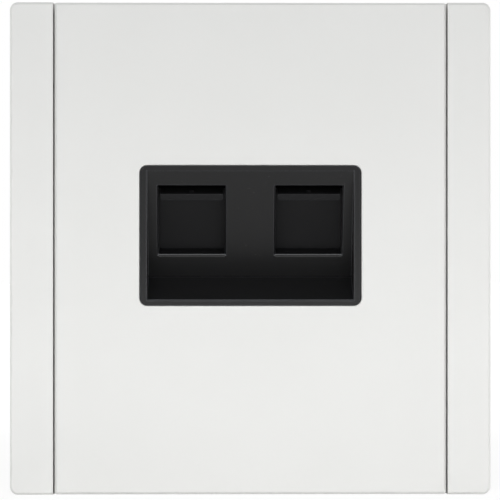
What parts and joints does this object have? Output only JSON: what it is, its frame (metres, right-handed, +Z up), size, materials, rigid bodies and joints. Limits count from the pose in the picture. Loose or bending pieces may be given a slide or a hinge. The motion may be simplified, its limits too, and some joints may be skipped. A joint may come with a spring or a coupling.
{
  "type": "double ethernet wall socket",
  "caption": "Square white wall socket with raised side rails and a black slanted recess holding paired shuttered modular jack ports, on a steel mounting plate.",
  "frame": {"origin": "centre of the fixing slots on the wall plane", "axes": "+X right seen from the front, +Y into the wall, +Z up"},
  "size_m": [0.085, 0.0357, 0.087],
  "materials": {
    "white_plastic": "satin white moulded plastic",
    "black_plastic": "satin black moulded plastic",
    "shutter_black": "satin black moulded plastic",
    "jack_black": "satin black moulded plastic",
    "comb_plastic": "satin dark grey moulded plastic",
    "terminal_plastic": "satin ivory moulded plastic",
    "board_green": "green solder mask",
    "zinc_steel": "zinc-plated steel sheet",
    "screw_steel": "zinc-plated steel",
    "spring_steel": "drawn spring wire",
    "contact_gold": "gold-plated spring strip",
    "blade_metal": "tinned bronze strip"
  },
  "bodies": {
    "base": {"frame": "white_plastic", "cover_plate": "white_plastic", "mounting_plate": "zinc_steel", "socket_housing": "black_plastic", "housing_screws": "screw_steel", "shutter_guide": "black_plastic", "circuit_board": "board_green", "board_screws": "screw_steel", "shutter_spring_left": "spring_steel", "jack_left": "jack_black", "contact_comb_left": "comb_plastic", "contacts_left": "contact_gold", "terminal_block_left": "terminal_plastic", "idc_blades_left": "blade_metal", "shutter_spring_right": "spring_steel", "jack_right": "jack_black", "contact_comb_right": "comb_plastic", "contacts_right": "contact_gold", "terminal_block_right": "terminal_plastic", "idc_blades_right": "blade_metal"},
    "shutter_left": {"shutter_left": "shutter_black"},
    "shutter_right": {"shutter_right": "shutter_black"}
  },
  "joints": [
    {"name": "shutter_left_slide", "type": "slide", "parent": "base", "child": "shutter_left", "axis": [0, 0.4226, -0.9063], "range_m": [0, 0.01025], "stiffness_N_per_m": 30, "springref_m": -0.004, "deforming": ["shutter_spring_left"]},
    {"name": "shutter_right_slide", "type": "slide", "parent": "base", "child": "shutter_right", "axis": [0, 0.4226, -0.9063], "range_m": [0, 0.01025], "stiffness_N_per_m": 30, "springref_m": -0.004, "deforming": ["shutter_spring_right"]}
  ]
}
